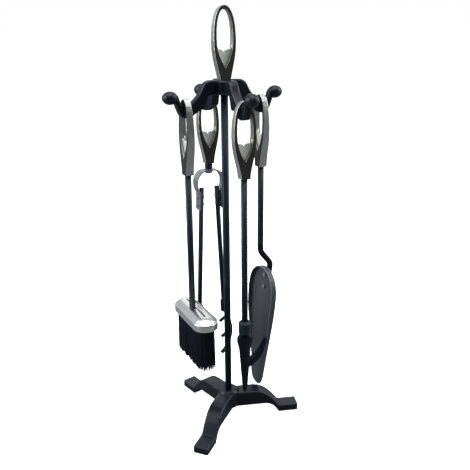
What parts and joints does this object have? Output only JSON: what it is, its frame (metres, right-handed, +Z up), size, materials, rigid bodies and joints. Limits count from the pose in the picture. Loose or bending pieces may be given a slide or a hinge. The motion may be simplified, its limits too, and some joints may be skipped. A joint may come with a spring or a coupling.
{
  "type": "fireplace tool set",
  "caption": "Black tripod fireplace stand with pewter loop handles, holding a brush, poker, shovel and spring tongs on upturned hook arms.",
  "frame": {"origin": "middle of the set's footprint on the floor, under its bounding box", "axes": "+Z up along the post; +X to the set's right and -Y towards its front, the brush hanging front left and the poker front right"},
  "size_m": [0.2034, 0.2118, 0.6503],
  "materials": {
    "black_cast_iron": "satin black enamel over a cast surface",
    "black_paint": "semi-gloss black enamel",
    "pewter": "antique pewter, satin, darker in the hollows and on the narrow edges",
    "spring_steel": "bare spring steel, lightly brushed",
    "bright_plate": "polished nickel",
    "pan_steel": "satin graphite",
    "zinc_steel": "zinc plated",
    "block_wood": "plain sealed",
    "bristles": "matt black fibre with a blue cast"
  },
  "bodies": {
    "stand": {"tripod_base": "black_cast_iron", "base_washer": "zinc_steel", "base_nut": "zinc_steel", "post": "black_paint", "hook_hub": "black_cast_iron", "top_stud": "zinc_steel", "top_handle": "pewter", "hook_arm_shovel": "black_cast_iron", "hook_arm_tongs": "black_cast_iron", "hook_arm_brush": "black_cast_iron", "hook_arm_poker": "black_cast_iron"},
    "shovel": {"shovel_handle": "pewter", "shovel_shaft": "black_paint", "shovel_pan": "pan_steel", "shovel_rivet_upper": "zinc_steel", "shovel_rivet_lower": "zinc_steel"},
    "brush": {"brush_handle": "pewter", "brush_shaft": "black_paint", "brush_head": "bright_plate", "brush_block": "block_wood", "brush_bristles": "bristles"},
    "poker": {"poker_handle": "pewter", "poker_shaft": "black_paint", "poker_collar": "black_paint", "poker_point": "black_paint", "poker_barb": "black_paint"},
    "tongs": {"tongs_handle": "pewter", "tongs_stud": "zinc_steel", "tongs_collar": "black_paint", "tongs_bow": "spring_steel"},
    "tongs_left": {"tongs_leg_left": "black_paint", "tongs_claw_left": "black_paint", "tongs_rivet_upper_left": "zinc_steel", "tongs_rivet_lower_left": "zinc_steel"},
    "tongs_right": {"tongs_leg_right": "black_paint", "tongs_claw_right": "black_paint", "tongs_rivet_upper_right": "zinc_steel", "tongs_rivet_lower_right": "zinc_steel"}
  },
  "joints": [
    {"name": "brush_lift", "type": "slide", "parent": "stand", "child": "brush", "axis": [-0.4763, -0.2323, 0.848], "range_m": [0, 0.12]},
    {"name": "poker_lift", "type": "slide", "parent": "stand", "child": "poker", "axis": [0.2323, -0.4763, 0.848], "range_m": [0, 0.12]},
    {"name": "shovel_lift", "type": "slide", "parent": "stand", "child": "shovel", "axis": [0.4763, 0.2323, 0.848], "range_m": [0, 0.12]},
    {"name": "tongs_lift", "type": "slide", "parent": "stand", "child": "tongs", "axis": [-0.2323, 0.4763, 0.848], "range_m": [0, 0.12]},
    {"name": "tongs_squeeze_left", "type": "hinge", "parent": "tongs", "child": "tongs_left", "pos_m": [-0.04204, 0.06059, 0.409], "axis": [0.4384, -0.8988, 0], "range_deg": [0, 3], "stiffness_Nm_per_rad": 12, "springref_deg": -1.15, "deforming": ["tongs_bow"]},
    {"name": "tongs_squeeze_right", "type": "hinge", "parent": "tongs", "child": "tongs_right", "pos_m": [-0.04204, 0.06059, 0.409], "axis": [-0.4384, 0.8988, 0], "range_deg": [0, 3], "stiffness_Nm_per_rad": 12, "springref_deg": -1.15, "deforming": ["tongs_bow"]}
  ],
  "couplings": [
    {"joint": "tongs_squeeze_right", "follows": "tongs_squeeze_left", "ratio": 1}
  ]
}
